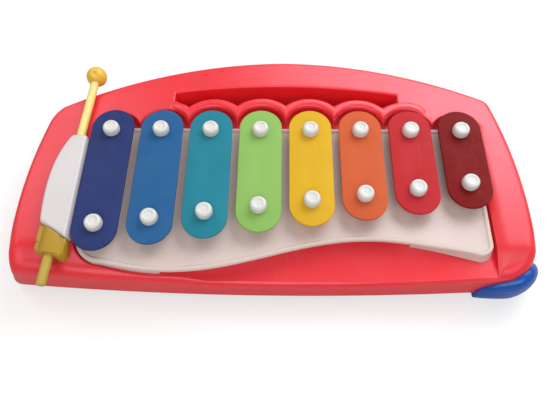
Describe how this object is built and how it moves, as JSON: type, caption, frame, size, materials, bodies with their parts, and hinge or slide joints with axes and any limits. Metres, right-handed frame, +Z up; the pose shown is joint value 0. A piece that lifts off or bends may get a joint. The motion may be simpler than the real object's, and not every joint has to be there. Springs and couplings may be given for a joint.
{
  "type": "toy xylophone",
  "caption": "Toddler's toy xylophone: a row of round-ended metal bars on a moulded sound tray and arched body with a scalloped carrying slot and a stored mallet.",
  "frame": {"origin": "on the surface the toy stands on, under the middle of its overall length and depth", "axes": "+X along the row of bars from the longest to the shortest, +Y away from the player towards the carrying slot, +Z up"},
  "size_m": [0.479, 0.2478, 0.0637],
  "materials": {
    "body": "glossy red moulded plastic",
    "tray": "off-white moulded plastic, satin",
    "bar_navy": "navy paint on sheet steel, satin",
    "bar_blue": "blue paint on sheet steel, satin",
    "bar_teal": "teal paint on sheet steel, satin",
    "bar_green": "green paint on sheet steel, satin",
    "bar_yellow": "yellow paint on sheet steel, satin",
    "bar_orange": "orange paint on sheet steel, satin",
    "bar_red": "red paint on sheet steel, satin",
    "bar_dark_red": "dark red paint on sheet steel, satin",
    "peg": "white plastic, polished dome",
    "grommet": "soft black rubber",
    "mallet": "yellow plastic, light gloss",
    "cover": "white plastic, light gloss",
    "holder": "yellow plastic, light gloss",
    "foot": "blue plastic, light gloss",
    "screw": "zinc-plated steel"
  },
  "bodies": {
    "xylophone": {"body_shell": "body", "sound_tray": "tray", "bar_1": "bar_navy", "bar_2": "bar_blue", "bar_3": "bar_teal", "bar_4": "bar_green", "bar_5": "bar_yellow", "bar_6": "bar_orange", "bar_7": "bar_red", "bar_8": "bar_dark_red", "peg_rear_1": "peg", "grommet_rear_1": "grommet", "peg_front_1": "peg", "grommet_front_1": "grommet", "peg_rear_2": "peg", "grommet_rear_2": "grommet", "peg_front_2": "peg", "grommet_front_2": "grommet", "peg_rear_3": "peg", "grommet_rear_3": "grommet", "peg_front_3": "peg", "grommet_front_3": "grommet", "peg_rear_4": "peg", "grommet_rear_4": "grommet", "peg_front_4": "peg", "grommet_front_4": "grommet", "peg_rear_5": "peg", "grommet_rear_5": "grommet", "peg_front_5": "peg", "grommet_front_5": "grommet", "peg_rear_6": "peg", "grommet_rear_6": "grommet", "peg_front_6": "peg", "grommet_front_6": "grommet", "peg_rear_7": "peg", "grommet_rear_7": "grommet", "peg_front_7": "peg", "grommet_front_7": "grommet", "peg_rear_8": "peg", "grommet_rear_8": "grommet", "peg_front_8": "peg", "grommet_front_8": "grommet", "holder_cover": "cover", "holder_block": "holder", "foot_front_right": "foot", "foot_front_left": "foot", "foot_rear_left": "foot", "foot_rear_right": "foot", "tray_screw_1": "screw", "tray_screw_2": "screw", "tray_screw_3": "screw", "tray_screw_4": "screw", "holder_screw_1": "screw", "holder_screw_2": "screw"},
    "mallet": {"mallet_shaft": "mallet", "mallet_head": "mallet"}
  },
  "joints": [
    {"name": "mallet_slide", "type": "slide", "parent": "xylophone", "child": "mallet", "axis": [0.0392, 0.9992, 0], "range_m": [0, 0.15]}
  ]
}
